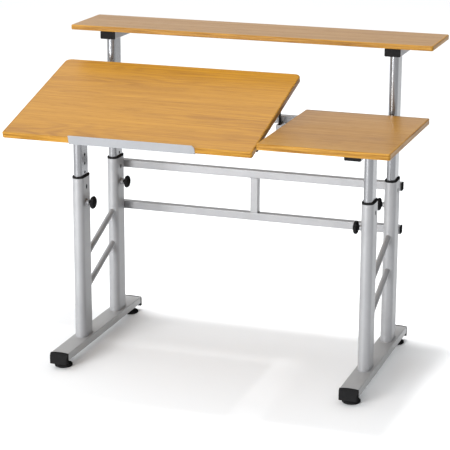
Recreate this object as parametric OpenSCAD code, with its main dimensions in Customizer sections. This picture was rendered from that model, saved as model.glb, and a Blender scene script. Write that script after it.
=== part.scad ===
// Split-level drafting table. A drawing board that tilts and a fixed side board stand on a
// frame of four telescopic columns, with a full-width shelf above their rear edge.
// X runs along the width, the user sits on the -Y side, and Z points up from the floor.

/* [Boards] */
// Width of the table and of the shelf
table_width = 1200; // [1180:0.1:1220]
// Height of the work surface above the floor
work_height = 803.3; // [801:0.1:806]
// Thickness of the two work boards
board_t = 19; // [18:0.5:20]
// Width of the tilting drawing board
drawing_w = 794.2; // [792:0.1:795]
// Depth of the drawing board, front to back
drawing_d = 513; // [505:1:516]
// Gap between the drawing board and the fixed board
board_gap = 10.3; // [8:0.1:12]
// Depth of the fixed board, front to back
fixed_d = 510.4; // [500:0.1:513]
// Depth of the shelf, front to back
shelf_d = 235.6; // [230:0.1:240]
// Height of the shelf's top face
shelf_height = 1024.3; // [1015:0.1:1035]
// Thickness of the shelf
shelf_t = 16; // [15:0.5:18]
// Width of the solid lipping round each board
edging_w = 5; // [5:0.5:6]
// Slope of the drawing board as it is stored
tilt_rest = 16; // [14:0.5:18]

/* [Columns] */
// Distance between the left and right columns
column_pitch_x = 945.4; // [940:0.1:950]
// Distance between the front and rear columns
column_pitch_y = 286.8; // [284:0.1:290]
// Thickness of the outer tube across its flats
outer_w = 38; // [38:0.5:39]
// Length of the outer tube's flat oval
outer_d = 80; // [80:0.5:82]
// Thickness of the inner tube across its flats
inner_w = 28; // [27:0.5:28]
// Length of the inner tube's flat oval
inner_d = 70; // [69:0.5:70]
// Wall of the column tubes
tube_wall = 2; // [1.5:0.5:2]
// Height of the outer tubes' top ends
outer_top = 581; // [578:1:584]
// Height of one step of the row of holes
hole_step = 28.575; // [28:0.005:29]

/* [Feet and crossbars] */
// Width of a foot bar
foot_w = 60; // [58:1:62]
// Height of a foot bar
foot_h = 24.5; // [24:0.5:26]
// Clearance under a foot bar
foot_z = 26.5; // [25:0.5:28]
// Size of the square crossbars
bar_size = 25.5; // [25:0.5:26]
// Height of the upper crossbar's axis
upper_bar_z = 549.6; // [546:0.1:552]
// Height of the lower crossbar's axis
lower_bar_z = 406.6; // [403:0.1:410]
// Diameter of a rung
rung_dia = 19; // [18:0.5:21]

/* [Knobs and glides] */
// Diameter of a clamping knob
knob_dia = 41; // [38:1:42]
// Height of the clamping knobs' axes
knob_z = 498.5; // [495:0.5:502]
// Diameter of a levelling glide
glide_dia = 57; // [54:1:58]

/* [Hidden] */
$fn = 48;
eps = 0.01;
running = 0.05;     // radial clearance of a pin or stem that turns or slides
slide_gap = 0.3;    // clearance of one column tube in its guide
touch_gap = 0.1;    // clearance of a pushed-in plastic piece
LEFT = -1;
RIGHT = 1;
FRONT = -1;
REAR = 1;

// Columns. Y is counted from midway between the front and rear columns, and placed()
// moves everything so that the whole table stands centred on the origin.
col_x = column_pitch_x / 2;
col_y = column_pitch_y / 2;
foot_top = foot_z + foot_h;
foot_front = -335.5;
foot_rear = 279.4;
glide_front_y = foot_front + 27.5;
glide_rear_y = foot_rear - 25.4;
foot_wall = 2;
foot_corner = 3;
collar_h = 6;
skirt_h = 48;
slot_z = outer_top - 31.5;
slot_w = 10;
slot_l = 15;
inner_bottom = 200;
first_hole_z = 653.5;
hole_count = 11;
hole_dia = 10;

// Desk frame under the boards
arm_w = 50;
arm_h = 25;
arm_wall = 1.5;
arm_corner = 2;
pad_t = 2;
fixed_bottom = work_height - board_t;
arm_top = fixed_bottom - pad_t;
arm_bottom = arm_top - arm_h;
arm_front = -358;
centre_arm_w = 30;
centre_arm_x = 163;
rail_front_y = -305.5;
rail_rear_y = 62.5;
rail_w = 25;
cap_t = 4;

// Boards
drawing_x0 = -table_width / 2;
drawing_front = -435;
fixed_x0 = drawing_x0 + drawing_w + board_gap;
fixed_w = table_width / 2 - fixed_x0;
fixed_front = -433;
shelf_front = 87;
shelf_rear = shelf_front + shelf_d;
shelf_bottom = shelf_height - shelf_t;
shelf_arm_bottom = shelf_bottom - arm_h;
shelf_arm_y0 = shelf_front + 8;
shelf_arm_y1 = shelf_rear - 28;
small_corner = 6.5;
large_corner = 20;
edge_round = 3;

// Tilt pivot of the drawing board, on the arms' mid height near their front ends
pivot_y = -345;
pivot_z = arm_top - arm_h / 2;
pivot_pin_r = 5;
ear_r = 13;
bracket_t = 2.5;
flange_t = 2;
ledge_x0 = -381;
ledge_x1 = 19;
ledge_t = 1.5;
ledge_h = 27;
ledge_flange = 24;
ledge_chamfer = 7;

// Friction stays of the drawing board. The pivot on the board and the pivot on the frame
// are equally far from the tilt pivot, so a stay turns by exactly half the board's angle
// and its straight bar always points through the clamp.
stay_radius = 370;
stay_drop_board = 10;
stay_frame_z = 750;
stay_tilt_max = 27;
board_stay_angle = asin((fixed_bottom - stay_drop_board - pivot_z) / stay_radius);
frame_stay_angle = asin((stay_frame_z - pivot_z) / stay_radius);
stay_open_rest = board_stay_angle + tilt_rest - frame_stay_angle;
stay_open_max = board_stay_angle + stay_tilt_max - frame_stay_angle;
stay_lean = frame_stay_angle + stay_open_rest / 2;
stay_frame_y = pivot_y + stay_radius * cos(frame_stay_angle);
stay_board_y = pivot_y + stay_radius * cos(board_stay_angle);
stay_board_z = fixed_bottom - stay_drop_board;
stay_bar_w = 15;
stay_bar_t = 4;
stay_pin_r = 3;
clamp_w = 10;
clamp_d = 24;
clamp_h = 22;
stay_reach = 2 * stay_radius * sin(stay_open_max / 2) + clamp_h / 2 - 1;
trunnion_r = 4;
plate_t = 2.5;
stay_x = plate_t + slide_gap + clamp_w / 2;

// Screws
screw_r = 2.5;
small_screw_r = 1.8;
screw_bite = 12;
fixed_screws = [[col_x, -280], [col_x, 20], [250, rail_front_y], [250, rail_rear_y]];
shelf_screws = [for (x = [-col_x, col_x], y = [205, 280]) [x, y]];
bumpers = [[-col_x, -250], [-col_x, 10], [120, rail_front_y], [120, rail_rear_y]];
ledge_screw_xs = [-340, -181, -22];

// Offset that centres the table's outer box on the origin
ledge_tip_y = drawing_front - ledge_t - pivot_y;
ledge_tip_z = fixed_bottom + ledge_h - pivot_z;
table_front = pivot_y + ledge_tip_y * cos(tilt_rest) - ledge_tip_z * sin(tilt_rest);
y_shift = -(table_front + shelf_rear) / 2;

// ---- placing ----

module placed() {
    translate([0, y_shift, 0]) children();
}

// Turns what is drawn in the flat position to the stored slope
module tilted() {
    translate([0, pivot_y, pivot_z]) rotate([tilt_rest, 0, 0])
        translate([0, -pivot_y, -pivot_z]) children();
}

module at_column(side, end, z) {
    translate([side * col_x, end * col_y, z]) children();
}

// Local +Z points from a column's axis towards the middle of the table
module facing_inwards(side) {
    rotate([0, -side * 90, 0]) children();
}

// ---- profiles and tubes ----

module flat_oval(w, d) {
    square([w, d - w], center = true);
    for (s = [-1, 1]) translate([0, s * (d - w) / 2]) circle(d = w);
}

module flat_oval_ring(w, d, wall) {
    difference() {
        flat_oval(w, d);
        flat_oval(w - 2 * wall, d - 2 * wall);
    }
}

module round_rect(w, h, r) {
    square([w - 2 * r, h], center = true);
    square([w, h - 2 * r], center = true);
    for (sx = [-1, 1], sy = [-1, 1]) translate([sx * (w / 2 - r), sy * (h / 2 - r)]) circle(r);
}

module box_ring(w, h, wall, r) {
    difference() {
        round_rect(w, h, r);
        square([w - 2 * wall, h - 2 * wall], center = true);
    }
}

// Extrudes an X-Z outline from y0 to y1
module along_y(y0, y1) {
    translate([0, y1, 0]) rotate([90, 0, 0]) linear_extrude(y1 - y0) children();
}

// Extrudes a Y-Z outline from x0 to x1
module along_x(x0, x1) {
    translate([x0, 0, 0]) rotate([90, 0, 90]) linear_extrude(x1 - x0) children();
}

module x_bore(r, length) {
    rotate([0, 90, 0]) cylinder(r = r, h = length, center = true);
}

// ---- base ----

module glide_places(side) {
    for (y = [glide_front_y, glide_rear_y]) translate([side * col_x, y, 0]) children();
}

insert_r = 8;
insert_h = 14;
stem_r = 5;

module foot_bar(side) {
    color("silver") placed() difference() {
        translate([side * col_x, 0, foot_z + foot_h / 2]) along_y(foot_front, foot_rear)
            box_ring(foot_w, foot_h, foot_wall, foot_corner);
        glide_places(side) translate([0, 0, foot_z - 1]) cylinder(r = insert_r, h = foot_wall + 2);
    }
}

module glide_inserts() {
    color("gainsboro") placed() for (side = [LEFT, RIGHT]) glide_places(side) difference() {
        translate([0, 0, foot_z]) cylinder(r = insert_r, h = insert_h);
        translate([0, 0, foot_z - 1]) cylinder(r = stem_r + running, h = insert_h + 2);
    }
}

foot_cap_l = 17;
foot_cap_z = 18;
foot_cap_lip = 7;        // upright lower part of its nose
foot_cap_crown = 2.5;    // rise of its top above the bar, at the middle
foot_cap_corner = 8;
plug_l = 9;

// Domed end cap: its nose curves down and forwards over the glide, and a plug enters the bar
module foot_cap(side, end) {
    end_y = end == FRONT ? foot_front : foot_rear;
    color("#202020") placed() translate([side * col_x, end_y, 0]) towards(end) {
        intersection() {
            along_x(-foot_w / 2, foot_w / 2) foot_cap_side_view();
            along_y(0, foot_cap_l) foot_cap_front_view();
            translate([0, 0, foot_cap_z - 1]) linear_extrude(foot_top + foot_cap_crown + 2 - foot_cap_z)
                round_rect(foot_w, 2 * foot_cap_l, foot_cap_corner);
        }
        translate([0, 0, foot_z + foot_h / 2]) along_y(-plug_l, 0)
            square([foot_w - 2 * foot_wall - touch_gap, foot_h - 2 * foot_wall - touch_gap], center = true);
    }
}

// Mirrors a piece drawn for the rear end to the front end
module towards(end) {
    if (end == FRONT) mirror([0, 1, 0]) children();
    else children();
}

module foot_cap_side_view() {
    shoulder = foot_cap_z + foot_cap_lip;
    drop = foot_top + foot_cap_crown - shoulder;
    nose_r = (foot_cap_l * foot_cap_l + drop * drop) / (2 * foot_cap_l);
    translate([0, foot_cap_z]) square([foot_cap_l, foot_cap_lip]);
    intersection() {
        translate([foot_cap_l - nose_r, shoulder]) circle(nose_r, $fn = 144);
        translate([0, shoulder - eps]) square([foot_cap_l, drop + eps]);
    }
}

module foot_cap_front_view() {
    half = foot_w / 2;
    crown_r = (half * half + foot_cap_crown * foot_cap_crown) / (2 * foot_cap_crown);
    intersection() {
        translate([-half, foot_cap_z]) square([foot_w, foot_top + foot_cap_crown - foot_cap_z]);
        translate([0, foot_top + foot_cap_crown - crown_r]) circle(crown_r, $fn = 360);
    }
}

bolt_r = 4;

module slot_cut(length, shrink) {
    along_x(-length / 2, length / 2) flat_oval(slot_w - shrink, slot_l - shrink);
}

module outer_tube(side, end) {
    color("silver") placed() difference() {
        at_column(side, end, foot_top) linear_extrude(outer_top - foot_top)
            flat_oval_ring(outer_w, outer_d, tube_wall);
        at_column(side, end, slot_z) slot_cut(outer_w + 2, 0);
        at_column(side, end, knob_z) facing_inwards(side)
            cylinder(r = stud_r + running, h = outer_w);
        if (end == REAR) for (z = [lower_bar_z, upper_bar_z]) at_column(side, end, z)
            rotate([-90, 0, 0]) cylinder(r = bolt_r + running, h = outer_d);
    }
}

// Black guide: a collar on the tube's end, a skirt inside it, and lugs snapped into its slots
module guide_sleeve(side, end) {
    skirt_w = outer_w - 2 * tube_wall - touch_gap;
    skirt_d = outer_d - 2 * tube_wall - touch_gap;
    color("#181818") placed() at_column(side, end, 0) difference() {
        union() {
            translate([0, 0, outer_top]) linear_extrude(collar_h) flat_oval(outer_w, outer_d);
            translate([0, 0, outer_top - skirt_h]) linear_extrude(skirt_h + eps)
                flat_oval(skirt_w, skirt_d);
            translate([0, 0, slot_z]) slot_cut(outer_w - 1, 2 * touch_gap);
        }
        translate([0, 0, outer_top - skirt_h - 1]) linear_extrude(skirt_h + collar_h + 2)
            flat_oval(inner_w + 2 * slide_gap, inner_d + 2 * slide_gap);
    }
}

stud_r = 4;
stud_tip = inner_w / 2 + 0.4;
boss_r = 9;
boss_l = 9;

module knob_bosses() {
    color("silver") placed() for (side = [LEFT, RIGHT], end = [FRONT, REAR])
        at_column(side, end, knob_z) facing_inwards(side) translate([0, 0, outer_w / 2]) difference() {
            cylinder(r1 = boss_r + 2, r2 = boss_r, h = boss_l);
            translate([0, 0, -1]) cylinder(r = stud_r + running, h = boss_l + 2);
        }
}

knob_base = 31;
knob_face = 36;
knob_back = 46.5;
knob_crown = 49;
knob_hub_r = 9;
lobes = 6;
scallop_r = 6;
scallop_depth = 3.5;
rim_in = 2.5;     // bevel at the rim's inner edge
rim_out = 3.5;    // bevel at its outer edge

// Lobed clamping knob with its threaded stud, which stops just short of the inner tube
module knob(side, end) {
    r = knob_dia / 2;
    color("#1c1c1c") placed() at_column(side, end, knob_z) facing_inwards(side) {
        translate([0, 0, stud_tip]) cylinder(r = stud_r, h = knob_base - stud_tip + eps);
        difference() {
            rotate_extrude() polygon([
                [0, knob_base], [knob_hub_r - 1, knob_base], [knob_hub_r, knob_face],
                [r - rim_in, knob_face], [r, knob_face + rim_in], [r, knob_back - rim_out],
                [r - rim_out, knob_back], [knob_hub_r + 3, knob_back],
                [knob_hub_r, knob_crown], [0, knob_crown],
            ]);
            for (i = [0 : lobes - 1]) rotate(i * 360 / lobes)
                translate([r + scallop_r - scallop_depth, 0, knob_face - 1])
                    cylinder(r = scallop_r, h = knob_crown - knob_face + 2);
        }
    }
}

glide_edge_h = 6;
glide_dome_h = 14;
glide_neck_r = 12;
glide_nut_r = 10;
stem_top = foot_z + insert_h + 2;

// Levelling glide: a broad foot, a hexagonal nut and a threaded stem in one moulding
module glide(side, end) {
    r = glide_dia / 2;
    y = end == FRONT ? glide_front_y : glide_rear_y;
    color("#181818") placed() translate([side * col_x, y, 0]) {
        rotate_extrude() polygon([
            [0, 0], [r - 2, 0], [r, 2], [r, glide_edge_h], [r - 2, glide_edge_h + 2],
            [glide_neck_r, glide_dome_h], [0, glide_dome_h],
        ]);
        translate([0, 0, glide_dome_h - eps])
            cylinder(r = glide_nut_r, h = foot_z - glide_dome_h + eps, $fn = 6);
        translate([0, 0, foot_z - eps]) cylinder(r = stem_r, h = stem_top - foot_z + eps);
    }
}

// Two rungs a side slope up to the rear between the columns
rung_front_z = [206, 314];
rung_rear_z = [290, 400];

module ladder_rungs() {
    y_end = col_y - outer_d / 2;
    color("silver") placed() difference() {
        for (side = [LEFT, RIGHT], i = [0, 1]) {
            rise = rung_rear_z[i] - rung_front_z[i];
            slope = atan2(rise, 2 * y_end);
            length = 2 * y_end / cos(slope) + 20;
            translate([side * col_x, 0, (rung_rear_z[i] + rung_front_z[i]) / 2])
                rotate([slope - 90, 0, 0]) cylinder(d = rung_dia, h = length, center = true);
        }
        for (side = [LEFT, RIGHT], end = [FRONT, REAR]) at_column(side, end, foot_top)
            linear_extrude(outer_top - foot_top) flat_oval(outer_w, outer_d);
    }
}

// Crossbars bolted behind the rear columns, joined by one upright
bar_y = col_y + outer_d / 2 + bar_size / 2;
bar_wall = 1.5;
bar_corner = 2;
bar_end = col_x + outer_w / 2;
bar_cap_t = 3;

module crossbar(z) {
    color("silver") placed() difference() {
        translate([0, bar_y, z]) along_x(-bar_end, bar_end)
            box_ring(bar_size, bar_size, bar_wall, bar_corner);
        for (side = [LEFT, RIGHT]) translate([side * col_x, bar_y, z]) rotate([90, 0, 0])
            cylinder(r = bolt_r + running, h = bar_size + 2, center = true);
    }
}

module crossbar_tie() {
    z0 = lower_bar_z + bar_size / 2;
    z1 = upper_bar_z - bar_size / 2;
    color("silver") placed() translate([0, bar_y, z0]) linear_extrude(z1 - z0)
        box_ring(bar_size, bar_size, bar_wall, bar_corner);
}

module crossbar_end_caps() {
    plug = bar_size - 2 * bar_wall - touch_gap;
    color("#181818") placed() for (s = [-1, 1], z = [lower_bar_z, upper_bar_z])
        translate([s * bar_end, bar_y, z]) mirror([s < 0 ? 1 : 0, 0, 0]) {
            along_x(0, bar_cap_t) round_rect(bar_size, bar_size, bar_corner);
            along_x(-plug_l, eps) square([plug, plug], center = true);
        }
}

bolt_head_r = 7;
bolt_head_h = 3.5;

module crossbar_bolts() {
    y0 = col_y + outer_d / 2 - tube_wall;
    y1 = bar_y + bar_size / 2;
    color("dimgray") placed() for (side = [LEFT, RIGHT], z = [lower_bar_z, upper_bar_z])
        translate([side * col_x, 0, z]) rotate([-90, 0, 0]) {
            translate([0, 0, y0]) cylinder(r = bolt_r, h = y1 - y0 + eps);
            translate([0, 0, y1]) difference() {
                cylinder(r1 = bolt_head_r, r2 = bolt_head_r - 2, h = bolt_head_h);
                translate([0, 0, 1]) cylinder(r = 3, h = bolt_head_h, $fn = 6);
            }
        }
}

// ---- sliding frame ----

module inner_tube(side, end) {
    top = end == FRONT ? arm_bottom : shelf_arm_bottom;
    color("silver") placed() difference() {
        at_column(side, end, inner_bottom) linear_extrude(top - inner_bottom)
            flat_oval_ring(inner_w, inner_d, tube_wall);
        for (i = [0 : hole_count - 1]) at_column(side, end, first_hole_z - i * hole_step)
            facing_inwards(side) cylinder(d = hole_dia, h = inner_w);
    }
}

plug_h = 18;
plug_flange_h = 6;

// Plastic plugs under the inner tubes, which guide them inside the outer tubes
module lower_guide_plugs() {
    flange_w = outer_w - 2 * tube_wall - 2 * slide_gap;
    flange_d = outer_d - 2 * tube_wall - 2 * slide_gap;
    color("#181818") placed() for (side = [LEFT, RIGHT], end = [FRONT, REAR])
        at_column(side, end, inner_bottom) {
            translate([0, 0, -plug_flange_h]) linear_extrude(plug_flange_h) flat_oval(flange_w, flange_d);
            translate([0, 0, -eps]) linear_extrude(plug_h)
                flat_oval(inner_w - 2 * tube_wall - touch_gap, inner_d - 2 * tube_wall - touch_gap);
        }
}

// Box tube under the drawing board, with a rounded closed front end about the tilt pivot
module round_nosed_arm(x, w, rear) {
    nose = arm_h / 2;
    difference() {
        translate([x, 0, 0]) union() {
            along_x(-w / 2, w / 2) translate([pivot_y, pivot_z]) circle(nose);
            translate([0, 0, pivot_z]) along_y(pivot_y, rear) square([w, arm_h], center = true);
        }
        translate([x, 0, 0]) union() {
            along_x(-w / 2 + arm_wall, w / 2 - arm_wall) translate([pivot_y, pivot_z])
                circle(nose - arm_wall);
            translate([0, 0, pivot_z]) along_y(pivot_y, rear + 1)
                square([w - 2 * arm_wall, arm_h - 2 * arm_wall], center = true);
        }
        translate([x, pivot_y, pivot_z]) x_bore(pivot_pin_r + running, w + 2);
    }
}

module rear_column_cope(side) {
    at_column(side, REAR, arm_bottom - 1) linear_extrude(arm_h + 2) flat_oval(inner_w, inner_d);
}

module left_desk_arm() {
    color("silver") placed() difference() {
        round_nosed_arm(-col_x, arm_w, col_y);
        rear_column_cope(LEFT);
    }
}

// Short arm that carries the second tilt hinge, butted against the front rail
module centre_desk_arm() {
    color("silver") placed() round_nosed_arm(centre_arm_x, centre_arm_w, rail_front_y - rail_w / 2);
}

module screw_holes(places, z0, z1) {
    for (p = places) translate([p[0], p[1], z0]) cylinder(r = screw_r + running, h = z1 - z0);
}

module right_desk_arm() {
    color("silver") placed() difference() {
        translate([col_x, 0, pivot_z]) along_y(arm_front, col_y)
            box_ring(arm_w, arm_h, arm_wall, arm_corner);
        rear_column_cope(RIGHT);
        screw_holes(fixed_screws, arm_bottom - 1, arm_top + 1);
    }
}

// Box rails that tie the two long arms together, butted between them
module cross_rails() {
    half = col_x - arm_w / 2;
    color("silver") placed() difference() {
        for (y = [rail_front_y, rail_rear_y]) translate([0, y, pivot_z])
            along_x(-half, half) box_ring(rail_w, arm_h, arm_wall, arm_corner);
        screw_holes(fixed_screws, arm_bottom - 1, arm_top + 1);
    }
}

module arm_cap(w) {
    plug_w = w - 2 * arm_wall - touch_gap;
    along_y(-cap_t, 0) round_rect(w, arm_h, arm_corner + 1);
    along_y(-eps, 6) square([plug_w, arm_h - 2 * arm_wall - touch_gap], center = true);
}

module desk_arm_end_cap() {
    color("#181818") placed() translate([col_x, arm_front, pivot_z]) arm_cap(arm_w);
}

module shelf_arm(side) {
    color("silver") placed() difference() {
        translate([side * col_x, 0, shelf_arm_bottom + arm_h / 2]) along_y(shelf_arm_y0, shelf_arm_y1)
            box_ring(arm_w, arm_h, arm_wall, arm_corner);
        screw_holes(shelf_screws, shelf_arm_bottom - 1, shelf_bottom + 1);
    }
}

module shelf_arm_end_caps() {
    color("#181818") placed() for (side = [LEFT, RIGHT])
        translate([side * col_x, 0, shelf_arm_bottom + arm_h / 2]) {
            translate([0, shelf_arm_y0, 0]) arm_cap(arm_w);
            translate([0, shelf_arm_y1, 0]) mirror([0, 1, 0]) arm_cap(arm_w);
        }
}

// ---- boards, drawn flat ----

// Core of a board: a plain slab with clipped corners inside its lipping
module board_core(x0, y0, w, d, z, t, clip) {
    x1 = x0 + w - edging_w;
    y1 = y0 + d - edging_w;
    xa = x0 + edging_w;
    ya = y0 + edging_w;
    translate([0, 0, z]) linear_extrude(t) polygon([
        [xa + clip, ya], [x1 - clip, ya], [x1, ya + clip], [x1, y1 - clip],
        [x1 - clip, y1], [xa + clip, y1], [xa, y1 - clip], [xa, ya + clip],
    ]);
}

// Ring of half-round section at one corner of the lipping
module corner_round(x, y, z, r) {
    translate([x, y, z]) rotate_extrude($fn = 32) translate([r - edge_round, 0])
        circle(edge_round, $fn = 24);
}

// Lipping with rounded edges all round a board
module lipping(x0, y0, w, d, z, t, r_front, r_rear, clip) {
    difference() {
        hull() for (dz = [edge_round, t - edge_round], side = [0, 1]) {
            x_front = side == 0 ? x0 + r_front : x0 + w - r_front;
            x_rear = side == 0 ? x0 + r_rear : x0 + w - r_rear;
            corner_round(x_front, y0 + r_front, z + dz, r_front);
            corner_round(x_rear, y0 + d - r_rear, z + dz, r_rear);
        }
        board_core(x0, y0, w, d, z - 1, t + 2, clip);
    }
}

clip_small = 4;
clip_large = 12;

module fixed_board() {
    color("#cfa36b") placed() difference() {
        board_core(fixed_x0, fixed_front, fixed_w, fixed_d, fixed_bottom, board_t, clip_small);
        screw_holes(fixed_screws, fixed_bottom - 1, fixed_bottom + screw_bite);
    }
}

module fixed_board_edging() {
    color("#d9a050") placed()
        lipping(fixed_x0, fixed_front, fixed_w, fixed_d, fixed_bottom, board_t,
            small_corner, small_corner, clip_small);
}

module shelf_board() {
    color("#cfa36b") placed() difference() {
        board_core(drawing_x0, shelf_front, table_width, shelf_d, shelf_bottom, shelf_t, clip_small);
        screw_holes(shelf_screws, shelf_bottom - 1, shelf_bottom + screw_bite);
    }
}

module shelf_edging() {
    color("#d9a050") placed()
        lipping(drawing_x0, shelf_front, table_width, shelf_d, shelf_bottom, shelf_t,
            small_corner, small_corner, clip_small);
}

// Pan-head screw, drawn upwards from the underside that its head bears on
module screw(r, length) {
    head_r = 2 * r;
    head_h = 0.9 * r;
    root = head_h / 3;
    translate([0, 0, -root]) cylinder(r = r, h = length + root);
    translate([0, 0, -head_h]) difference() {
        cylinder(r1 = head_r - 1, r2 = head_r, h = head_h);
        for (a = [0, 90]) rotate(a) translate([-head_r / 2, -0.4, -1]) cube([head_r, 0.8, 2]);
    }
}

module board_screws() {
    color("gainsboro") placed() {
        for (p = fixed_screws) translate([p[0], p[1], arm_bottom])
            screw(screw_r, arm_h + pad_t + screw_bite - 1);
        for (p = shelf_screws) translate([p[0], p[1], shelf_arm_bottom])
            screw(screw_r, arm_h + screw_bite - 1);
    }
}

pad_r = 9;
bumper_r = 7;

// Spacers round the fixed board's screws, and buffers that the drawing board rests on when flat
module board_pads() {
    color("#282828") placed() {
        for (p = fixed_screws) translate([p[0], p[1], arm_top]) difference() {
            cylinder(r = pad_r, h = pad_t);
            translate([0, 0, -1]) cylinder(r = screw_r + running, h = pad_t + 2);
        }
        for (p = bumpers) translate([p[0], p[1], arm_top]) cylinder(r = bumper_r, h = pad_t - slide_gap);
    }
}

// ---- drawing board ----

module drawing_board() {
    color("#cf9440") placed() tilted() difference() {
        board_core(drawing_x0, drawing_front, drawing_w, drawing_d, fixed_bottom, board_t, clip_large);
        for (p = drawing_screw_places()) translate([p[0], p[1], fixed_bottom - 1])
            cylinder(r = small_screw_r + running, h = screw_bite + 1);
    }
}

module drawing_board_edging() {
    color("#d9a050") placed() tilted()
        lipping(drawing_x0, drawing_front, drawing_w, drawing_d, fixed_bottom, board_t,
            small_corner, large_corner, clip_large);
}

// Angle strip along the low edge that stops pencils rolling off
module pencil_ledge() {
    z0 = fixed_bottom - ledge_t;
    color("#d8dbe2") placed() tilted() difference() {
        union() {
            along_y(drawing_front - ledge_t, drawing_front) translate([0, z0]) polygon([
                [ledge_x0, 0], [ledge_x1, 0], [ledge_x1, ledge_h - ledge_chamfer],
                [ledge_x1 - ledge_chamfer, ledge_h + ledge_t],
                [ledge_x0 + 2, ledge_h + ledge_t], [ledge_x0, ledge_h],
            ]);
            translate([ledge_x0, drawing_front - eps, z0])
                cube([ledge_x1 - ledge_x0, ledge_flange, ledge_t]);
        }
        for (x = ledge_screw_xs) translate([x, drawing_front + ledge_flange / 2, z0 - 1])
            cylinder(r = small_screw_r + running, h = ledge_t + 2);
    }
}

flange_w = 11;
flange_half = 22;
hinge_screw_y = 16;
hinge_arms = [[-col_x, arm_w], [centre_arm_x, centre_arm_w]];
right_stay_x = 128;
stay_arms = [[-col_x - arm_w / 2, -1], [right_stay_x, 1]];
stay_flange_half = 24;
stay_screw_y = 18;

// Screws of the drawing board as [x, y] in the flat position, and the plate under each head
function hinge_screw_places() = [
    for (arm = hinge_arms, s = [-1, 1], y = [-hinge_screw_y, hinge_screw_y])
        [arm[0] + s * (arm[1] / 2 + touch_half + bracket_t + flange_w / 2), pivot_y + y]
];
function stay_screw_places() = [
    for (arm = stay_arms, y = [-stay_screw_y, stay_screw_y]) [arm[0] + arm[1] * stay_x, stay_board_y + y]
];
function ledge_screw_places() = [for (x = ledge_screw_xs) [x, drawing_front + ledge_flange / 2]];
function drawing_screw_places() = concat(hinge_screw_places(), stay_screw_places(), ledge_screw_places());

touch_half = 0.5;   // side gap between an arm and a hinge ear

// Angle brackets on both sides of an arm, screwed under the board
module hinge_bracket(x, w, s) {
    inner = w / 2 + touch_half;
    translate([x, 0, 0]) mirror([s < 0 ? 1 : 0, 0, 0]) difference() {
        union() {
            along_x(inner, inner + bracket_t) hinge_ear_profile();
            translate([inner, pivot_y - flange_half, fixed_bottom - flange_t])
                cube([bracket_t + flange_w, 2 * flange_half, flange_t]);
        }
        translate([inner, pivot_y, pivot_z]) x_bore(pivot_pin_r + running / 2, 4 * bracket_t);
        for (y = [-hinge_screw_y, hinge_screw_y])
            translate([inner + bracket_t + flange_w / 2, pivot_y + y, fixed_bottom - flange_t - 1])
                cylinder(r = small_screw_r + running, h = flange_t + 2);
    }
}

module hinge_ear_profile() {
    translate([pivot_y, pivot_z]) circle(ear_r);
    translate([pivot_y - ear_r, pivot_z]) square([2 * ear_r, fixed_bottom - pivot_z]);
}

module hinge_brackets() {
    color("#242424") placed() tilted() for (arm = hinge_arms, s = [-1, 1]) hinge_bracket(arm[0], arm[1], s);
}

stay_ear_gap = 0.5;
stay_ear_t = 2;
stay_ear_half = 7;

// Fork under the board that carries the upper end of a stay
module stay_bracket() {
    inner = stay_bar_t / 2 + stay_ear_gap;
    translate([stay_x, 0, 0]) difference() {
        union() {
            for (s = [-1, 1]) {
                x0 = s > 0 ? inner : -inner - stay_ear_t;
                along_x(x0, x0 + stay_ear_t) stay_ear_profile();
            }
            translate([-stay_x + 1, stay_board_y - stay_flange_half, fixed_bottom - flange_t])
                cube([2 * stay_x - 1.6, 2 * stay_flange_half, flange_t]);
        }
        translate([0, stay_board_y, stay_board_z]) x_bore(stay_pin_r + running / 2, 4 * inner);
        for (y = [-stay_screw_y, stay_screw_y])
            translate([0, stay_board_y + y, fixed_bottom - flange_t - 1])
                cylinder(r = small_screw_r + running, h = flange_t + 2);
    }
}

module stay_ear_profile() {
    translate([stay_board_y, stay_board_z]) circle(stay_ear_half);
    translate([stay_board_y - stay_ear_half, stay_board_z])
        square([2 * stay_ear_half, fixed_bottom - stay_board_z]);
}

// Local X is counted outwards from the plane that a stay's bracket starts at
module at_stay(arm) {
    translate([arm[0], 0, 0]) mirror([arm[1] < 0 ? 1 : 0, 0, 0]) children();
}

module at_stays() {
    for (arm = stay_arms) at_stay(arm) children();
}

module stay_brackets() {
    color("#242424") placed() tilted() at_stays() stay_bracket();
}

pin_head_r = 8;
pin_head_t = 3;
stay_head_r = 5;
stay_head_t = 0.8;

module hinge_pin(x, w) {
    half = w / 2 + touch_half + bracket_t;
    translate([x, pivot_y, pivot_z]) {
        x_bore(pivot_pin_r, 2 * half);
        for (s = [-1, 1]) translate([s * (half + pin_head_t / 2), 0, 0]) x_bore(pin_head_r, pin_head_t);
    }
}

module stay_pin() {
    half = stay_bar_t / 2 + stay_ear_gap + stay_ear_t;
    translate([stay_x, stay_board_y, stay_board_z]) {
        x_bore(stay_pin_r, 2 * half);
        for (s = [-1, 1]) translate([s * (half + stay_head_t / 2), 0, 0]) x_bore(stay_head_r, stay_head_t);
    }
}

module pivot_pins() {
    color("#303030") placed() tilted() {
        for (arm = hinge_arms) hinge_pin(arm[0], arm[1]);
        at_stays() stay_pin();
    }
}

module drawing_board_screws() {
    color("gainsboro") placed() tilted() {
        for (p = concat(hinge_screw_places(), stay_screw_places()))
            translate([p[0], p[1], fixed_bottom - flange_t])
                screw(small_screw_r, screw_bite + flange_t - 1);
        for (p = ledge_screw_places())
            translate([p[0], p[1], fixed_bottom - ledge_t])
                screw(small_screw_r, screw_bite + ledge_t - 1);
    }
}

// ---- friction stays ----

stay_hole_r = 3;
stay_hole_step = 16;
stay_hole_count = 12;

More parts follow.
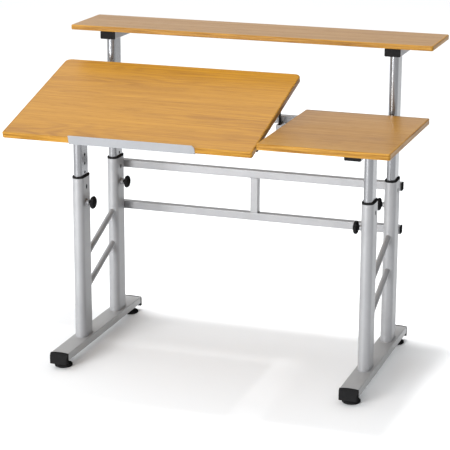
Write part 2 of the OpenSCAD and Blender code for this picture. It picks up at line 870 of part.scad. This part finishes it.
// Flat bar with a row of holes, hung from the board and running through its clamp
module stay_bars() {
    half = stay_bar_w / 2;
    lower = stay_reach - half;
    color("#242424") placed() at_stays() translate([stay_x, 0, 0]) at_board_stay_pivot() difference() {
        along_x(-stay_bar_t / 2, stay_bar_t / 2) {
            circle(half);
            translate([-half, -lower]) square([stay_bar_w, lower]);
            translate([0, -lower]) circle(half);
        }
        x_bore(stay_pin_r + running, stay_bar_t + 2);
        for (i = [1 : stay_hole_count]) translate([0, 0, -i * stay_hole_step - 4])
            x_bore(stay_hole_r, stay_bar_t + 2);
    }
}

// Local +Z runs up along the stay's bar, from the pivot on the board
module at_board_stay_pivot() {
    open = board_stay_angle + tilt_rest;
    translate([0, pivot_y + stay_radius * cos(open), pivot_z + stay_radius * sin(open)])
        rotate([stay_lean, 0, 0]) children();
}

// Clamp block that turns on two trunnions and holds the bar by friction
module stay_clamps() {
    half = clamp_w / 2;
    trunnion = half + slide_gap + plate_t;
    color("#181818") placed() at_stays() translate([stay_x, stay_frame_y, stay_frame_z])
        rotate([stay_lean, 0, 0]) difference() {
            union() {
                along_x(-half, half) round_rect(clamp_d, clamp_h, 4);
                x_bore(trunnion_r, 2 * trunnion);
            }
            cube([stay_bar_t + 2 * slide_gap, stay_bar_w + 2 * slide_gap, 2 * clamp_h], center = true);
        }
}

bracket_front = 20;
bracket_rear = 13;
bracket_drop = 12;
tab_rear = 45;
tab_front = 14;

// Fork that carries a clamp's trunnions
module clamp_fork() {
    y = stay_frame_y;
    z = stay_frame_z;
    width = 2 * stay_x;
    difference() {
        union() {
            for (x = [0, width - plate_t]) along_x(x, x + plate_t)
                translate([y - bracket_front, z - bracket_drop])
                    square([bracket_front + bracket_rear, 2 * bracket_drop]);
            translate([0, y - bracket_front, z - bracket_drop]) cube([width, plate_t, 2 * bracket_drop]);
        }
        translate([width / 2, y, z]) x_bore(trunnion_r + running, width + 2);
    }
}

// Plate from the fork up along the side of the left arm
module arm_tab() {
    y = stay_frame_y;
    z = stay_frame_z;
    along_x(0, plate_t) union() {
        translate([y + bracket_rear - eps, z - bracket_drop])
            square([tab_rear - bracket_rear, 2 * bracket_drop]);
        translate([y + tab_front, z]) square([tab_rear - tab_front, arm_top - 3 - z]);
    }
}

// Two plates from the fork back to the front face of the rear rail
module rail_tabs() {
    y0 = stay_frame_y + bracket_rear - eps;
    z0 = stay_frame_z - bracket_drop;
    for (x = [0, 2 * stay_x - plate_t]) along_x(x, x + plate_t)
        translate([y0, z0]) square([rail_rear_y - rail_w / 2 - y0, arm_top - 3 - z0]);
}

module clamp_brackets() {
    color("silver") placed() {
        at_stays() clamp_fork();
        at_stay(stay_arms[0]) arm_tab();
        at_stay(stay_arms[1]) rail_tabs();
    }
}

foot_bar(LEFT);  // left_foot_bar
foot_bar(RIGHT);  // right_foot_bar
foot_cap(LEFT, FRONT);  // left_front_foot_cap
foot_cap(LEFT, REAR);  // left_rear_foot_cap
foot_cap(RIGHT, FRONT);  // right_front_foot_cap
foot_cap(RIGHT, REAR);  // right_rear_foot_cap
outer_tube(LEFT, FRONT);  // left_front_outer_tube
outer_tube(LEFT, REAR);  // left_rear_outer_tube
outer_tube(RIGHT, FRONT);  // right_front_outer_tube
outer_tube(RIGHT, REAR);  // right_rear_outer_tube
guide_sleeve(LEFT, FRONT);  // left_front_guide_sleeve
guide_sleeve(LEFT, REAR);  // left_rear_guide_sleeve
guide_sleeve(RIGHT, FRONT);  // right_front_guide_sleeve
guide_sleeve(RIGHT, REAR);  // right_rear_guide_sleeve
ladder_rungs();
crossbar(upper_bar_z);  // upper_crossbar
crossbar(lower_bar_z);  // lower_crossbar
crossbar_tie();
crossbar_end_caps();
crossbar_bolts();
knob_bosses();
glide_inserts();
knob(LEFT, FRONT);  // left_front_knob
knob(LEFT, REAR);  // left_rear_knob
knob(RIGHT, FRONT);  // right_front_knob
knob(RIGHT, REAR);  // right_rear_knob
glide(LEFT, FRONT);  // left_front_glide
glide(LEFT, REAR);  // left_rear_glide
glide(RIGHT, FRONT);  // right_front_glide
glide(RIGHT, REAR);  // right_rear_glide
inner_tube(LEFT, FRONT);  // left_front_inner_tube
inner_tube(LEFT, REAR);  // left_rear_inner_tube
inner_tube(RIGHT, FRONT);  // right_front_inner_tube
inner_tube(RIGHT, REAR);  // right_rear_inner_tube
lower_guide_plugs();
left_desk_arm();
centre_desk_arm();
right_desk_arm();
cross_rails();
desk_arm_end_cap();
shelf_arm(LEFT);  // left_shelf_arm
shelf_arm(RIGHT);  // right_shelf_arm
shelf_arm_end_caps();
fixed_board();
fixed_board_edging();
shelf_board();
shelf_edging();
board_screws();
board_pads();
clamp_brackets();
drawing_board();
drawing_board_edging();
pencil_ledge();
hinge_brackets();
pivot_pins();
stay_brackets();
drawing_board_screws();
stay_bars();
stay_clamps();
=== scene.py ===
"""Looks of the drafting table: materials, softened edges, weld beads, light and camera.

The CAD parts keep their places. What is added here sits on them and takes its position
from their boxes.
"""

import math

import bmesh
import bpy
from mathutils import Matrix, Vector


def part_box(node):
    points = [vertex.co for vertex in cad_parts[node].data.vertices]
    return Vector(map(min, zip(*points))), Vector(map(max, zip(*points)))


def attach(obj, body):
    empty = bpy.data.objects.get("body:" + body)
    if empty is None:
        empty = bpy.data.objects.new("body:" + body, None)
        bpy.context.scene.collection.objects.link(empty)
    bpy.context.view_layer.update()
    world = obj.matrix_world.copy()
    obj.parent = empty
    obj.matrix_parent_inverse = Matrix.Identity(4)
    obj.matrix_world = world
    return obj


MM = 0.001
SIDES = ("left", "right")
ENDS = ("front", "rear")


# ---------------------------------------------------------------- node graphs
BEVEL_SAMPLES = 4
FLAT_FACING, EDGE_FACING = 0.985, 0.85   # cosines between the true and the rounded normal


class Graph:
    """Builds one material's nodes around its Principled shader."""

    def __init__(self, name):
        self.material = bpy.data.materials.new(name)
        self.material.use_nodes = True
        self.tree = self.material.node_tree
        self.shader = self.tree.nodes["Principled BSDF"]
        texture = self.tree.nodes.new("ShaderNodeTexCoord")
        self.coordinates = texture.outputs["Object"]
        self.object_normal = texture.outputs["Normal"]

    def node(self, kind, inputs=(), **settings):
        made = self.tree.nodes.new(kind)
        for key, value in settings.items():
            setattr(made, key, value)
        for key, value in dict(inputs).items():
            self.feed(made.inputs[key], value)
        return made

    def feed(self, socket, value):
        if isinstance(value, bpy.types.NodeSocket):
            self.tree.links.new(value, socket)
        else:
            socket.default_value = value

    def stretched(self, stretch, offset=(0, 0, 0)):
        """Object coordinates in metres, multiplied by stretch along each axis."""
        inputs = {"Vector": self.coordinates, "Scale": stretch, "Location": offset}
        return self.node("ShaderNodeMapping", inputs).outputs["Vector"]

    def noise(self, vector, scale=1.0, detail=3.0, roughness=0.5):
        inputs = {"Vector": vector, "Scale": scale, "Detail": detail, "Roughness": roughness}
        return self.node("ShaderNodeTexNoise", inputs).outputs["Fac"]

    def math(self, operation, a, b=0.0):
        return self.node("ShaderNodeMath", {0: a, 1: b}, operation=operation).outputs[0]

    def spread(self, value, low, high, to_low=0.0, to_high=1.0):
        """Maps low..high of a value to to_low..to_high, clamped."""
        inputs = {"Value": value, "From Min": low, "From Max": high,
                  "To Min": to_low, "To Max": to_high}
        return self.node("ShaderNodeMapRange", inputs).outputs["Result"]

    def share(self, value, part):
        """A part of a value, as a mixing factor."""
        return self.math("MULTIPLY", value, part)

    def mix(self, factor, a, b):
        """Colour a where the factor is 0 and b where it is 1."""
        made = self.node("ShaderNodeMix", data_type="RGBA")
        self.feed(made.inputs["Factor"], factor)
        first, second = (socket for socket in made.inputs if socket.type == "RGBA")
        self.feed(first, a)
        self.feed(second, b)
        return next(socket for socket in made.outputs if socket.type == "RGBA")

    def bump(self, height, depth):
        inputs = {"Height": height, "Distance": depth, "Strength": 1.0}
        return self.node("ShaderNodeBump", inputs).outputs["Normal"]

    def edges(self, radius):
        """About 1 on sharp edges and 0 on flat faces."""
        bevel = self.node("ShaderNodeBevel", {"Radius": radius}, samples=BEVEL_SAMPLES)
        rounded = bevel.outputs["Normal"]
        flat = self.node("ShaderNodeNewGeometry").outputs["Normal"]
        facing = self.node("ShaderNodeVectorMath", {0: rounded, 1: flat}, operation="DOT_PRODUCT")
        return self.spread(facing.outputs["Value"], FLAT_FACING, EDGE_FACING)

    def finish(self, colour, roughness, normal=None, **constants):
        """Feeds the shader. Each constant is named like its socket, with _ for a space."""
        self.feed(self.shader.inputs["Base Color"], colour)
        self.feed(self.shader.inputs["Roughness"], roughness)
        if normal is not None:
            self.feed(self.shader.inputs["Normal"], normal)
        for key, value in constants.items():
            self.shader.inputs[key.replace("_", " ")].default_value = value
        return self.material


def rgb(red, green, blue):
    return (red, green, blue, 1.0)


# ---------------------------------------------------------------- materials
MOST = (0.3, 0.7)               # the band that holds most values of a noise
SEED_STEPS = (1.0, 1.7, 0.6)    # a seed shifts the pattern by a different amount on each axis
GROWTH_LINES = 34.0             # growth lines in a metre across straight grain
GROWTH_WANDER = 26.0            # how many lines the grain's warp can shift them


def oak_figure(g, seed):
    """Growth lines, streaks, pores and broad tone of oak, with its grain along X."""
    def grain(fine, long, detail, roughness=0.5):
        """Noise that repeats fine times in a metre across the grain and long times along it."""
        vector = g.stretched((long, fine, fine), [seed * step for step in SEED_STEPS])
        return g.noise(vector, detail=detail, roughness=roughness)

    across = g.node("ShaderNodeSeparateXYZ", {"Vector": g.coordinates}).outputs["Y"]
    warp = grain(fine=5.5, long=0.75, detail=3.0)
    cycles = g.math("ADD", g.share(across, GROWTH_LINES), g.share(warp, GROWTH_WANDER))
    lines = g.math("SINE", g.share(cycles, math.tau))
    fade = g.spread(grain(fine=9.0, long=1.3, detail=1.0), 0.40, 0.62)
    growth = g.share(g.spread(lines, -0.5, 1.0), fade)
    streaks = g.spread(grain(fine=130.0, long=1.4, detail=5.0, roughness=0.70), 0.34, 0.66)
    pores = g.spread(grain(fine=620.0, long=20.0, detail=2.0), 0.58, 0.72)
    tone = g.spread(grain(fine=7.0, long=0.6, detail=2.0), 0.36, 0.64)
    return growth, streaks, pores, tone


OAK_LIGHT = (0.360, 0.170, 0.009)
OAK_DARK = (0.165, 0.060, 0.002)
OAK_PORE = (0.070, 0.020, 0.001)
OAK_ROUGHNESS = 0.30
STREAK_ROUGHNESS, PORE_ROUGHNESS = 0.10, 0.16     # what streaks and pores add to it
STREAK_SHARE, GROWTH_SHARE, TONE_SHARE, PORE_SHARE = 0.62, 0.50, 0.42, 0.35
PORE_DEPTH = 0.04 * MM


def oak(name, painted_shade, seed, specular):
    """Oak-pattern laminate: growth lines, streaks and short dark pores on a light ground, all
    scaled by the board's painted shade.
    """
    g = Graph(name)
    # The colours are scaled by a painted shade: each board's copy of the same laminate is darker
    # or lighter to stand in for the light it gets.
    light, dark, pore = (
        rgb(*(painted_shade * level for level in colour)) for colour in (OAK_LIGHT, OAK_DARK, OAK_PORE)
    )
    growth, streaks, pores, tone = oak_figure(g, seed)
    ground = g.mix(g.share(streaks, STREAK_SHARE), light, dark)
    lined = g.mix(g.share(growth, GROWTH_SHARE), ground, dark)
    toned = g.mix(g.share(tone, TONE_SHARE), lined, light)
    colour = g.mix(g.share(pores, PORE_SHARE), toned, pore)
    rougher = g.math("ADD", g.share(streaks, STREAK_ROUGHNESS), g.share(pores, PORE_ROUGHNESS))
    roughness = g.math("ADD", rougher, OAK_ROUGHNESS)
    normal = g.bump(g.math("SUBTRACT", 1.0, pores), PORE_DEPTH)
    return g.finish(colour, roughness, normal, Specular_IOR_Level=specular)


LIPPING_LIGHT = rgb(0.37, 0.19, 0.030)
LIPPING_DARK = rgb(0.17, 0.070, 0.006)
LIPPING_ROUGHNESS = (0.28, 0.40)
LIPPING_GRAIN = ((7.0, 210.0, 210.0), (210.0, 7.0, 210.0))     # on edges along X, and along Y
TURNED_NORMAL = 0.6             # X part of the normal past which an edge runs along Y


def oak_strip(name, seed):
    """Edge strip printed with oak grain that runs along each side of the board, with a painted
    highlight on its rounded edges.
    """
    g = Graph(name)
    normal = g.node("ShaderNodeSeparateXYZ", {"Vector": g.object_normal})
    turned = g.math("GREATER_THAN", g.math("ABSOLUTE", normal.outputs["X"]), TURNED_NORMAL)
    along_x, along_y = (
        g.noise(g.stretched(stretch, (seed, 0, seed)), detail=3.0, roughness=0.6)
        for stretch in LIPPING_GRAIN
    )
    chosen = g.node("ShaderNodeMix", {"Factor": turned, "A": along_x, "B": along_y})
    grain = chosen.outputs["Result"]
    tone = g.noise(g.coordinates, scale=3.0, detail=1.0)
    streaks = g.spread(g.math("ADD", grain, g.share(tone, 0.3)), 0.5, 0.85)
    printed = g.mix(streaks, LIPPING_LIGHT, LIPPING_DARK)
    # The rounded edges are painted a quarter of the way to the light colour: a painted highlight.
    colour = g.mix(g.share(g.edges(1.2 * MM), 0.25), printed, LIPPING_LIGHT)
    return g.finish(colour, g.spread(grain, *MOST, *LIPPING_ROUGHNESS), g.bump(grain, 0.03 * MM),
                    Specular_IOR_Level=0.09)


def powder_coat(name, base, bright, roughness, metallic):
    """Baked silver paint: fine orange peel, metal flake, edges painted lighter as a painted
    highlight, and faint smudges.
    """
    g = Graph(name)
    peel = g.noise(g.coordinates, scale=700.0, detail=2.0)
    flake = g.noise(g.coordinates, scale=5200.0, detail=1.0)
    smudge = g.noise(g.coordinates, scale=9.0, detail=4.0, roughness=0.6)
    mottled = g.mix(g.spread(smudge, 0.35, 0.7, 0.0, 0.22), base, bright)
    sparkling = g.mix(g.spread(flake, 0.55, 0.75, 0.0, 0.30), mottled, bright)
    # The edges are painted toward the brighter colour: a painted highlight.
    colour = g.mix(g.share(g.edges(1.5 * MM), 0.35), sparkling, bright)
    gloss = g.spread(smudge, *MOST, roughness - 0.05, roughness + 0.07)
    return g.finish(colour, gloss, g.bump(peel, 0.03 * MM), Metallic=metallic,
                    Specular_IOR_Level=0.3)


def moulded(name, base, dust_and_highlight, roughness):
    """Moulded plastic with a spark-eroded surface, paler dust, and edges painted paler as a
    painted highlight.
    """
    g = Graph(name)
    erosion = g.noise(g.coordinates, scale=1400.0, detail=3.0, roughness=0.7)
    dust = g.noise(g.coordinates, scale=60.0, detail=5.0, roughness=0.65)
    dusty = g.mix(g.spread(dust, 0.5, 0.75, 0.0, 0.25), base, dust_and_highlight)
    # The edges are painted toward the paler colour: a painted highlight.
    colour = g.mix(g.share(g.edges(1.2 * MM), 0.6), dusty, dust_and_highlight)
    gloss = g.spread(dust, *MOST, roughness - 0.08, roughness + 0.1)
    return g.finish(colour, gloss, g.bump(erosion, 0.05 * MM), Specular_IOR_Level=0.0)


def rubber(name):
    """Dull black rubber with a coarse grain."""
    g = Graph(name)
    grain = g.noise(g.coordinates, scale=900.0, detail=4.0, roughness=0.7)
    colour = g.mix(g.spread(grain, 0.4, 0.7), rgb(0.012, 0.012, 0.012), rgb(0.03, 0.03, 0.03))
    return g.finish(colour, g.spread(grain, *MOST, 0.7, 0.9), g.bump(grain, 0.1 * MM))


def black_steel(name):
    """Black-painted pressed steel with a little bare metal at its edges."""
    g = Graph(name)
    peel = g.noise(g.coordinates, scale=600.0, detail=2.0)
    scuff = g.noise(g.stretched((90.0, 90.0, 400.0)), detail=4.0, roughness=0.7)
    worn = g.share(g.edges(1.0 * MM), g.spread(scuff, 0.42, 0.62))
    colour = g.mix(worn, rgb(0.008, 0.008, 0.009), rgb(0.09, 0.09, 0.095))
    return g.finish(colour, g.spread(scuff, *MOST, 0.32, 0.48), g.bump(peel, 0.04 * MM),
                    Metallic=0.1, Specular_IOR_Level=0.06)


def zinc(name):
    """Bright zinc plating with brushed streaks and a dull bloom."""
    g = Graph(name)
    brushed = g.noise(g.stretched((900.0, 900.0, 60.0)), detail=3.0)
    bloom = g.noise(g.coordinates, scale=160.0, detail=4.0)
    colour = g.mix(g.spread(bloom, 0.4, 0.7), rgb(0.62, 0.63, 0.64), rgb(0.42, 0.43, 0.46))
    return g.finish(colour, g.spread(brushed, *MOST, 0.22, 0.42), g.bump(brushed, 0.03 * MM),
                    Metallic=1.0)


# Boards by node name: material, painted shade of the oak (one laminate, darker or lighter on each
# board to stand in for the light it gets), seed of its figure and specular level
BOARDS = {
    "drawing_board": ("oak_drawing_board", 0.98, 0.0, 0.42),
    "fixed_board": ("oak_fixed_board", 0.88, 3.1, 0.58),
    "shelf_board": ("oak_shelf", 0.70, 7.4, 0.62),
}
# Painted and satin metals: material, base colour, brighter colour, roughness and metallic
METALS = {
    "silver_paint": (
        "silver_powder_coat", rgb(0.26, 0.262, 0.27), rgb(0.40, 0.402, 0.41), 0.38, 0.25),
    "inner_tube": ("satin_steel", rgb(0.22, 0.222, 0.23), rgb(0.34, 0.34, 0.35), 0.22, 0.85),
    # The foot bars get a paler copy of the silver paint: painted light, lifting the shade they
    # sit in under the table.
    "foot_bar": (
        "foot_lit_powder_coat", rgb(0.34, 0.342, 0.345), rgb(0.52, 0.522, 0.525), 0.40, 0.25),
    "light_grey_metal": (
        "light_grey_paint", rgb(0.235, 0.24, 0.25), rgb(0.31, 0.315, 0.33), 0.40, 0.1),
}
# The paler plastic colour serves the dust and the painted highlight on edges.
PLASTIC_BASE, PLASTIC_DUST_AND_HIGHLIGHT = rgb(0.014, 0.014, 0.0145), rgb(0.032, 0.032, 0.033)
OWN_FINISH = ("inner_tube", "foot_bar")      # endings of node names with a finish of their own; the foot bars' is a paler copy that is painted light


def make_materials():
    """Every finish, by the node name, its ending or the slot that it dresses."""
    materials = {node: oak(*values) for node, values in BOARDS.items()}
    materials.update({kind: powder_coat(*values) for kind, values in METALS.items()})
    materials["oak_lipping"] = oak_strip("oak_lipping", seed=1.3)
    materials["black_plastic"] = moulded("black_plastic", PLASTIC_BASE, PLASTIC_DUST_AND_HIGHLIGHT, 0.36)
    materials["black_rubber"] = rubber("black_rubber")
    materials["black_steel"] = black_steel("black_steel")
    materials["zinc_hardware"] = zinc("zinc_plate")
    return materials


def dress(frame, materials):
    """Gives every CAD node its finish: by its own name if there is one, or by its slot."""
    for name, obj in frame["nodes"].items():
        slot = obj.data.materials[0].name.split(".")[0]
        kind = next((ending for ending in OWN_FINISH if name.endswith(ending)), name)
        obj.data.materials[0] = materials.get(kind, materials.get(slot))


# ---------------------------------------------------------------- softened edges
# Widths by a part of the node's name; the first that fits is used
EDGE_WIDTHS_MM = {
    "foot_cap": 1.6, "knob": 0.8, "glide": 0.8, "guide_sleeve": 0.8, "end_cap": 0.9,
    "pencil_ledge": 0.35, "bracket": 0.4, "stay_clamps": 0.6, "stay_bars": 0.5,
    "bosses": 0.8, "inserts": 0.5, "foot_bar": 0.5, "bolts": 0.4,
}
WELD_DISTANCE = 0.01 * MM
EDGE_SEGMENTS = 3
SHARP_FROM = math.radians(38)
LARGE_FACE_WEIGHT = 80


def soften(obj, width):
    """Joins the faces of an imported solid and rounds its sharp edges."""
    bpy.context.view_layer.objects.active = obj
    bpy.ops.mesh.customdata_custom_splitnormals_clear()
    obj.data.shade_smooth()
    weld = obj.modifiers.new("joined_faces", "WELD")
    weld.merge_threshold = WELD_DISTANCE
    bevel = obj.modifiers.new("soft_edges", "BEVEL")
    bevel.width = width
    bevel.segments = EDGE_SEGMENTS
    bevel.limit_method = "ANGLE"
    bevel.angle_limit = SHARP_FROM
    bevel.use_clamp_overlap = True
    weighted = obj.modifiers.new("even_shading", "WEIGHTED_NORMAL")
    weighted.keep_sharp = False
    weighted.weight = LARGE_FACE_WEIGHT


def soften_edges(frame):
    for name, obj in frame["nodes"].items():
        widths = [width for part, width in EDGE_WIDTHS_MM.items() if part in name]
        if widths:
            soften(obj, widths[0] * MM)


# ---------------------------------------------------------------- weld beads
RIPPLE_PITCH = 3.2 * MM
RIPPLE_SHARE = 0.16         # rise and fall of the bead's radius along it
BEAD_SIDES = 8
BEAD_STEP = 1.2 * MM
FEWEST_POINTS = 24
CORNER_RADIUS = 2 * MM
CORNER_POINTS = 5
CORNERS = ((1, 1), (-1, 1), (-1, -1), (1, -1))      # in the order of their angles
X_AXIS = Vector((1, 0, 0))


class NodeBox:
    """The box of one CAD node at rest."""

    def __init__(self, node):
        self.low, self.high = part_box(node)
        self.centre = (self.low + self.high) / 2
        self.size = self.high - self.low


def even_path(points, step):
    """The same closed path with points about a step apart."""
    out = []
    for a, b in zip(points, points[1:] + points[:1]):
        count = max(1, round((b - a).length / step))
        out += [a.lerp(b, k / count) for k in range(count)]
    return out


def oval_path(centre, width, depth):
    """Flat oval in a level plane, its straight sides along Y."""
    radius = width / 2
    straight = depth / 2 - radius
    count = max(FEWEST_POINTS, int((math.pi * width + 4 * straight) / BEAD_STEP))
    points = []
    for i in range(count):
        angle = math.tau * i / count
        x = radius * math.cos(angle)
        y = radius * math.sin(angle) + math.copysign(straight, math.sin(angle))
        points.append(Vector(centre) + Vector((x, y, 0)))
    return even_path(points, BEAD_STEP)


def rectangle_path(centre, width, depth):
    """Rectangle with small round corners, in a level plane."""
    points = []
    for i, (x_side, y_side) in enumerate(CORNERS):
        for k in range(CORNER_POINTS):
            angle = math.radians(90) * (i + k / (CORNER_POINTS - 1))
            x = x_side * (width / 2 - CORNER_RADIUS) + CORNER_RADIUS * math.cos(angle)
            y = y_side * (depth / 2 - CORNER_RADIUS) + CORNER_RADIUS * math.sin(angle)
            points.append(Vector(centre) + Vector((x, y, 0)))
    return even_path(points, BEAD_STEP)


def ring_path(centre, radius, step=1.0 * MM):
    """Circle about an axis along X."""
    across = X_AXIS.orthogonal().normalized()
    up = X_AXIS.cross(across)
    count = max(FEWEST_POINTS, int(math.tau * radius / step))
    angles = [math.tau * i / count for i in range(count)]
    return [Vector(centre) + (across * math.cos(a) + up * math.sin(a)) * radius for a in angles]


def add_bead(mesh, path, radius):
    """Adds a closed rippled bead to a bmesh, along a path of points."""
    rings, run = [], 0.0
    centre = sum(path, Vector()) / len(path)
    turns = [math.tau * k / BEAD_SIDES for k in range(BEAD_SIDES)]
    for i, point in enumerate(path):
        tangent = (path[(i + 1) % len(path)] - path[i - 1]).normalized()
        run += (point - path[i - 1]).length
        outward = point - centre
        outward = (outward - tangent * outward.dot(tangent)).normalized()
        side = tangent.cross(outward)
        swell = radius * (1 + RIPPLE_SHARE * math.sin(math.tau * run / RIPPLE_PITCH))
        rings.append([
            mesh.verts.new(point + (outward * math.cos(turn) + side * math.sin(turn)) * swell)
            for turn in turns
        ])
    for a, b in zip(rings, rings[1:] + rings[:1]):
        for k in range(BEAD_SIDES):
            n = (k + 1) % BEAD_SIDES
            mesh.faces.new((a[k], a[n], b[n], b[k]))


def bead_piece(name, body, paths, radius, material):
    """One piece with a bead along each path, riding on a body."""
    mesh = bmesh.new()
    for path in paths:
        add_bead(mesh, path, radius)
    bmesh.ops.recalc_face_normals(mesh, faces=mesh.faces)
    data = bpy.data.meshes.new(name)
    mesh.to_mesh(data)
    mesh.free()
    data.shade_smooth()
    obj = bpy.data.objects.new(name, data)
    bpy.context.scene.collection.objects.link(obj)
    data.materials.append(material)
    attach(obj, body)


def column_base_paths():
    """Seams where the four columns stand on the foot bars."""
    boxes = [NodeBox(f"{side}_{end}_outer_tube") for side in SIDES for end in ENDS]
    return [oval_path((b.centre.x, b.centre.y, b.low.z), b.size.x, b.size.y) for b in boxes]


def arm_paths(end):
    """Seams where the front or rear inner tubes meet the arms that they carry."""
    boxes = [NodeBox(f"{side}_{end}_inner_tube") for side in SIDES]
    return [oval_path((b.centre.x, b.centre.y, b.high.z), b.size.x, b.size.y) for b in boxes]


def tie_paths():
    """Seams at both ends of the upright between the two crossbars."""
    tie = NodeBox("crossbar_tie")
    return [rectangle_path((tie.centre.x, tie.centre.y, z), tie.size.x, tie.size.y)
            for z in (tie.low.z, tie.high.z)]


def boss_paths():
    """Rings round the four knob bosses where they meet the columns."""
    bosses = NodeBox("knob_bosses")
    paths = []
    for side in SIDES:
        for end in ENDS:
            column = NodeBox(f"{side}_{end}_outer_tube")
            face = column.high.x if side == "left" else column.low.x
            paths.append(ring_path((face, column.centre.y, bosses.centre.z), bosses.size.z / 2))
    return paths


def add_weld_beads(materials):
    paint = materials["silver_paint"]
    bead_piece("column_base_welds", "base_frame", column_base_paths(), 1.9 * MM, paint)
    bead_piece("crossbar_tie_welds", "base_frame", tie_paths(), 1.1 * MM, paint)
    bead_piece("knob_boss_welds", "base_frame", boss_paths(), 0.9 * MM, paint)
    bead_piece("desk_arm_welds", "sliding_frame", arm_paths("front"), 1.6 * MM, paint)
    bead_piece("shelf_arm_welds", "sliding_frame", arm_paths("rear"), 1.6 * MM, paint)


# ---------------------------------------------------------------- room, light and camera
FLOOR_HALF = 30.0
FLOOR_CELLS = 8
FLOOR_PALE, FLOOR_PALER = rgb(0.915, 0.93, 0.945), rgb(0.92, 0.935, 0.95)
FLOOR_ROUGHNESS = 0.85


def add_floor():
    """Plain pale studio floor with a faint unevenness."""
    mesh = bmesh.new()
    bmesh.ops.create_grid(mesh, x_segments=FLOOR_CELLS, y_segments=FLOOR_CELLS, size=FLOOR_HALF)
    data = bpy.data.meshes.new("studio_floor")
    mesh.to_mesh(data)
    mesh.free()
    floor = bpy.data.objects.new("studio_floor", data)
    bpy.context.scene.collection.objects.link(floor)
    g = Graph("studio_floor")
    cloud = g.noise(g.coordinates, scale=0.8, detail=2.0)
    colour = g.mix(g.spread(cloud, *MOST), FLOOR_PALER, FLOOR_PALE)
    data.materials.append(g.finish(colour, FLOOR_ROUGHNESS))


SKY_LEVEL = 0.70        # brightness all round
SKY_TOP = 0.40          # more of it overhead
SKY_SLOPE = 0.62        # more from the left, less from the right
SKY_SIDE = (-0.97, -0.25)
SKY_SEEN = 1.0          # brightness of the backdrop that the camera sees


def add_sky():
    """White room that is brighter overhead and towards the front left, seen as plain white."""
    world = bpy.data.worlds.new("studio")
    world.use_nodes = True
    tree = world.node_tree
    background = tree.nodes["Background"]
    direction = tree.nodes.new("ShaderNodeTexCoord").outputs["Generated"]
    camera_ray = tree.nodes.new("ShaderNodeLightPath").outputs["Is Camera Ray"]
    slope = tree.nodes.new("ShaderNodeVectorMath")
    slope.operation = "DOT_PRODUCT"
    slope.inputs[1].default_value = [SKY_SLOPE * part for part in SKY_SIDE] + [SKY_TOP]
    level = tree.nodes.new("ShaderNodeMath")
    level.operation = "ADD"
    level.inputs[1].default_value = SKY_LEVEL
    seen = tree.nodes.new("ShaderNodeMix")
    seen.inputs["B"].default_value = SKY_SEEN
    tree.links.new(direction, slope.inputs[0])
    tree.links.new(slope.outputs["Value"], level.inputs[0])
    tree.links.new(level.outputs[0], seen.inputs["A"])
    tree.links.new(camera_ray, seen.inputs["Factor"])
    tree.links.new(seen.outputs["Result"], background.inputs["Strength"])
    background.inputs["Color"].default_value = rgb(1.0, 1.0, 1.0)
    bpy.context.scene.world = world


# Place, target, width and height in metres, and power in watts
SOFTBOXES = {
    "overhead": ((0.15, 0.6, 6.0), (0.0, 0.0, 0.0), (0.7, 0.6), 240),
    "front": ((-2.4, -6.2, 1.3), (0.0, 0.0, 0.6), (2.4, 2.0), 470),
}


def add_softbox(name, place, target, size, power):
    light = bpy.data.lights.new(name, "AREA")
    light.shape = "RECTANGLE"
    light.size, light.size_y = size
    light.energy = power
    lamp = bpy.data.objects.new(name, light)
    lamp.location = place
    towards = Vector(target) - Vector(place)
    lamp.rotation_euler = towards.to_track_quat("-Z", "Y").to_euler()
    bpy.context.scene.collection.objects.link(lamp)


def add_lights():
    add_sky()
    for name, values in SOFTBOXES.items():
        add_softbox(name, *values)
    bpy.context.scene.view_settings.view_transform = "Standard"


CAMERA_PLACE = (1.7004, -4.9996, 1.9311)
CAMERA_YAW, CAMERA_PITCH, CAMERA_ROLL = 18.95, -15.74, 0.19     # degrees
CAMERA_LENS = 138.9         # mm, on a sensor SENSOR_WIDTH wide
SENSOR_WIDTH = 36.0
VIEW_DISTANCE = 100.0


def add_camera():
    """Camera at the photo's viewpoint: yaw to the left of +Y, then pitch, then roll."""
    data = bpy.data.cameras.new("camera")
    data.lens = CAMERA_LENS
    data.sensor_width = SENSOR_WIDTH
    data.clip_end = VIEW_DISTANCE
    camera = bpy.data.objects.new("camera", data)
    yaw, pitch, roll = (math.radians(a) for a in (CAMERA_YAW, CAMERA_PITCH, CAMERA_ROLL))
    level = math.cos(pitch)
    ahead = Vector((-math.sin(yaw) * level, math.cos(yaw) * level, math.sin(pitch)))
    right = Vector((math.cos(yaw), math.sin(yaw), 0))
    up = right.cross(ahead)
    turned = right * math.cos(roll) + up * math.sin(roll)
    upright = up * math.cos(roll) - right * math.sin(roll)
    axes = Matrix((turned, upright, -ahead)).transposed()
    camera.matrix_world = Matrix.Translation(CAMERA_PLACE) @ axes.to_4x4()
    bpy.context.scene.collection.objects.link(camera)
    bpy.context.scene.camera = camera


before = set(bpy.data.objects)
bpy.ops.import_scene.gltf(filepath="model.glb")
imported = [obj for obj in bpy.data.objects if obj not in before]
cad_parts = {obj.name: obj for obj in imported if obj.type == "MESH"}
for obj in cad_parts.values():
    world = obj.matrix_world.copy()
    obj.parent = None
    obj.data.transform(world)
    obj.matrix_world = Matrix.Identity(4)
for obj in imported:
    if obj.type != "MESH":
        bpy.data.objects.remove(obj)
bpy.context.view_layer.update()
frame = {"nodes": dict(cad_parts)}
finishes = make_materials()
dress(frame, finishes)
soften_edges(frame)
add_weld_beads(finishes)
add_floor()
add_lights()
add_camera()
